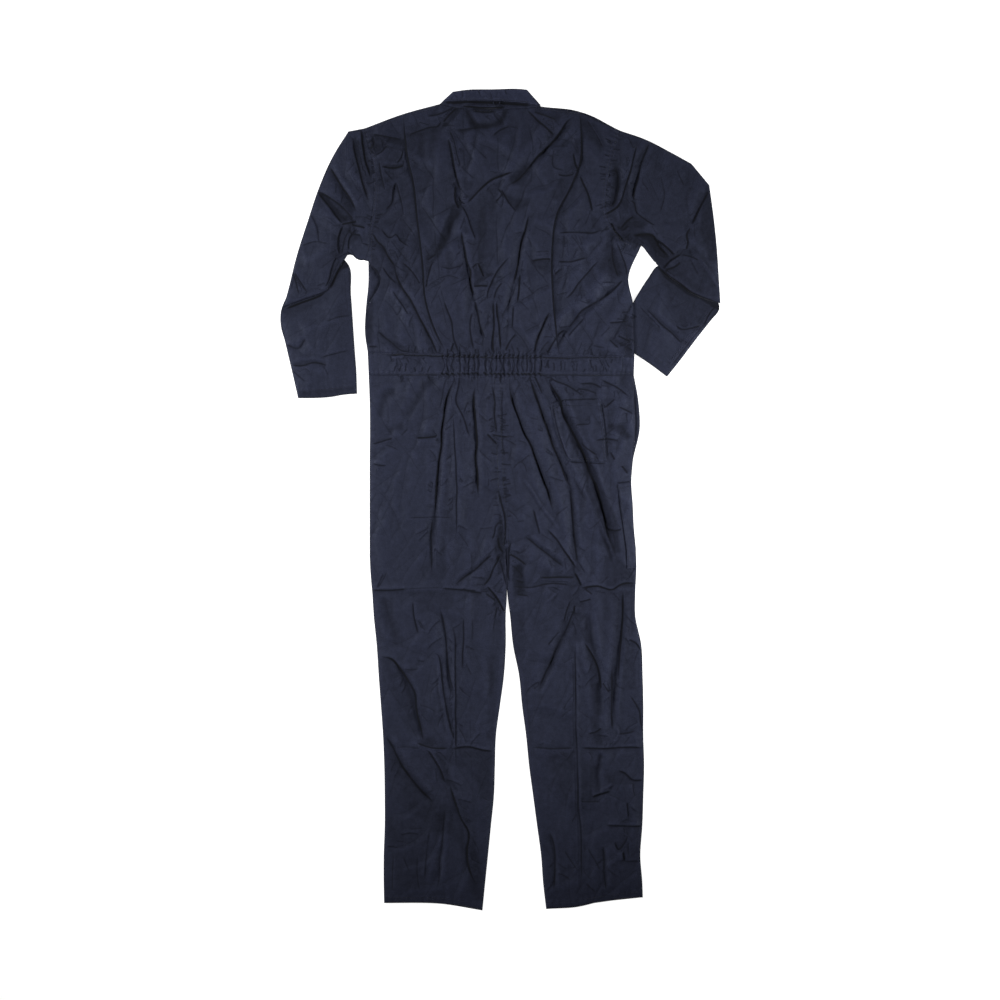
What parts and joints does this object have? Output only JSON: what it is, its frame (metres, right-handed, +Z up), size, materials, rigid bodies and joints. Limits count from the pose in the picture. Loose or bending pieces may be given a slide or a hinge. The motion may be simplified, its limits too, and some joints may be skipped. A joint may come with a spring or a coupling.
{
  "type": "boiler suit",
  "caption": "Boiler suit laid flat and face down, with a pleated back, elasticated waist, folded sleeves, shirt collar, hip pocket and rule pocket",
  "frame": {"origin": "Middle of the box in X and Y, on the surface it lies on; the suit lies face down with its back up.", "axes": "+Y towards the collar, +X towards the wearer's right arm, +Z up from the surface."},
  "size_m": [0.9214, 1.7218, 0.0165],
  "materials": {
    "twill": "matt navy poly-cotton twill",
    "elastic_waist": "matt navy twill gathered on elastic",
    "collar_twill": "matt navy twill, stitched double",
    "pocket_twill": "matt navy twill, twin needle stitched",
    "tape": "matt navy woven tape"
  },
  "bodies": {
    "root": {"back_bodice": "twill", "back_leg_left": "twill", "back_leg_right": "twill", "back_waistband": "elastic_waist", "collar_front_left": "collar_twill", "collar_front_right": "collar_twill", "collar_leaf": "collar_twill", "collar_stand": "collar_twill", "front_bodice_left": "twill", "front_bodice_right": "twill", "front_leg_left": "twill", "front_leg_right": "twill", "front_placket": "twill", "front_waistband_left": "twill", "front_waistband_right": "twill", "hanger_loop": "tape", "hip_pocket": "pocket_twill", "rule_pocket": "pocket_twill", "sleeve_left_forearm": "twill", "sleeve_left_forearm_under": "twill", "sleeve_left_upper": "twill", "sleeve_left_upper_under": "twill", "sleeve_right_forearm": "twill", "sleeve_right_forearm_under": "twill", "sleeve_right_upper": "twill", "sleeve_right_upper_under": "twill"}
  },
  "joints": []
}
